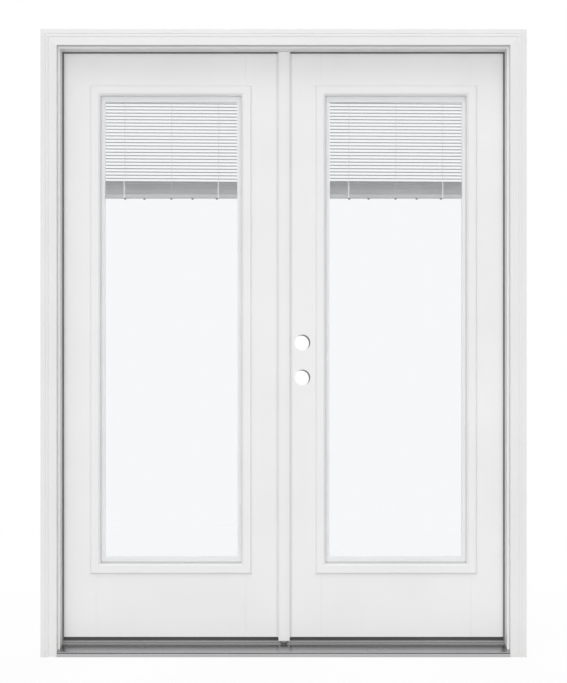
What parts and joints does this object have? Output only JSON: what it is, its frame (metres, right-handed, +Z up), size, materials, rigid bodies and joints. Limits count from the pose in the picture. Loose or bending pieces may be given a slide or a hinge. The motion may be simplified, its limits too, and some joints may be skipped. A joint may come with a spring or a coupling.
{
  "type": "patio door",
  "caption": "Inswing French patio door in its frame: full-lite leaves with blinds between the panes, half-round astragal, brickmould casing, butt hinges and a metal threshold.",
  "frame": {"origin": "middle of the sill at the floor, in the plane of the jambs' outer edges", "axes": "+X to the right seen from outside, +Y into the room, +Z up"},
  "size_m": [1.625, 0.1671, 2.1018],
  "materials": {
    "white_paint": "smooth white satin paint",
    "lite_vinyl": "white moulded vinyl",
    "glass": "clear",
    "slat_paint": "white baked enamel",
    "ladder_cord": "white cord",
    "sill_metal": "mill finish",
    "sill_cap": "grey composite",
    "sill_core": "moulded composite",
    "seal": "dark grey foam",
    "hinge_steel": "satin nickel plate"
  },
  "bodies": {
    "frame": {"left_jamb": "white_paint", "right_jamb": "white_paint", "head_jamb": "white_paint", "left_brickmould": "white_paint", "right_brickmould": "white_paint", "head_brickmould": "white_paint", "sill_base": "sill_core", "sill_deck": "sill_metal", "sill_cap": "sill_cap", "cap_screws": "hinge_steel", "left_weatherstrip": "seal", "right_weatherstrip": "seal", "head_weatherstrip": "seal", "corner_pads": "seal", "left_frame_leaves": "hinge_steel", "right_frame_leaves": "hinge_steel", "left_hinge_pins": "hinge_steel", "right_hinge_pins": "hinge_steel", "head_strike": "hinge_steel"},
    "passive_door": {"passive_hinge_stile": "white_paint", "passive_lock_stile": "white_paint", "passive_top_rail": "white_paint", "passive_bottom_rail": "white_paint", "passive_outer_lite_frame": "lite_vinyl", "passive_inner_lite_frame": "lite_vinyl", "passive_outer_pane": "glass", "passive_inner_pane": "glass", "passive_spacer": "lite_vinyl", "passive_blind_head_rail": "slat_paint", "passive_blind_slats": "slat_paint", "passive_blind_ladders": "ladder_cord", "passive_sweep": "seal", "passive_hinge_leaves": "hinge_steel", "astragal": "white_paint", "astragal_seal": "seal"},
    "active_door": {"active_hinge_stile": "white_paint", "active_lock_stile": "white_paint", "active_top_rail": "white_paint", "active_bottom_rail": "white_paint", "active_outer_lite_frame": "lite_vinyl", "active_inner_lite_frame": "lite_vinyl", "active_outer_pane": "glass", "active_inner_pane": "glass", "active_spacer": "lite_vinyl", "active_blind_head_rail": "slat_paint", "active_blind_slats": "slat_paint", "active_blind_ladders": "ladder_cord", "active_sweep": "seal", "active_hinge_leaves": "hinge_steel"},
    "passive_blind": {"passive_blind_bunch": "slat_paint", "passive_blind_bottom_rail": "slat_paint"},
    "active_blind": {"active_blind_bunch": "slat_paint", "active_blind_bottom_rail": "slat_paint"},
    "passive_slider": {"passive_blind_slider": "lite_vinyl"},
    "active_slider": {"active_blind_slider": "lite_vinyl"},
    "top_bolt": {"top_bolt": "hinge_steel"},
    "bottom_bolt": {"bottom_bolt": "hinge_steel"}
  },
  "joints": [
    {"name": "active_swing", "type": "hinge", "parent": "frame", "child": "active_door", "pos_m": [0.7627, 0.12275, 1.05], "axis": [0, 0, -1], "range_deg": [0, 110]},
    {"name": "passive_swing", "type": "hinge", "parent": "frame", "child": "passive_door", "pos_m": [-0.7627, 0.12275, 1.05], "axis": [0, 0, 1], "range_deg": [0, 99]},
    {"name": "active_blind_lift", "type": "slide", "parent": "active_door", "child": "active_blind", "axis": [0, 0, 1], "range_m": [0, 0.25], "deforming": ["active_blind_slats", "active_blind_ladders"]},
    {"name": "active_slider_move", "type": "slide", "parent": "active_door", "child": "active_slider", "axis": [0, 0, -1], "range_m": [0, 0.25]},
    {"name": "passive_blind_lift", "type": "slide", "parent": "passive_door", "child": "passive_blind", "axis": [0, 0, 1], "range_m": [0, 0.25], "deforming": ["passive_blind_slats", "passive_blind_ladders"]},
    {"name": "passive_slider_move", "type": "slide", "parent": "passive_door", "child": "passive_slider", "axis": [0, 0, -1], "range_m": [0, 0.25]},
    {"name": "top_bolt_throw", "type": "slide", "parent": "passive_door", "child": "top_bolt", "axis": [0, 0, 1], "range_m": [0, 0.018]},
    {"name": "bottom_bolt_throw", "type": "slide", "parent": "passive_door", "child": "bottom_bolt", "axis": [0, 0, -1], "range_m": [0, 0.018]}
  ],
  "couplings": [
    {"joint": "passive_swing", "follows": "active_swing", "ratio": 0.9},
    {"joint": "active_slider_move", "follows": "active_blind_lift", "ratio": 1},
    {"joint": "passive_slider_move", "follows": "passive_blind_lift", "ratio": 1}
  ]
}
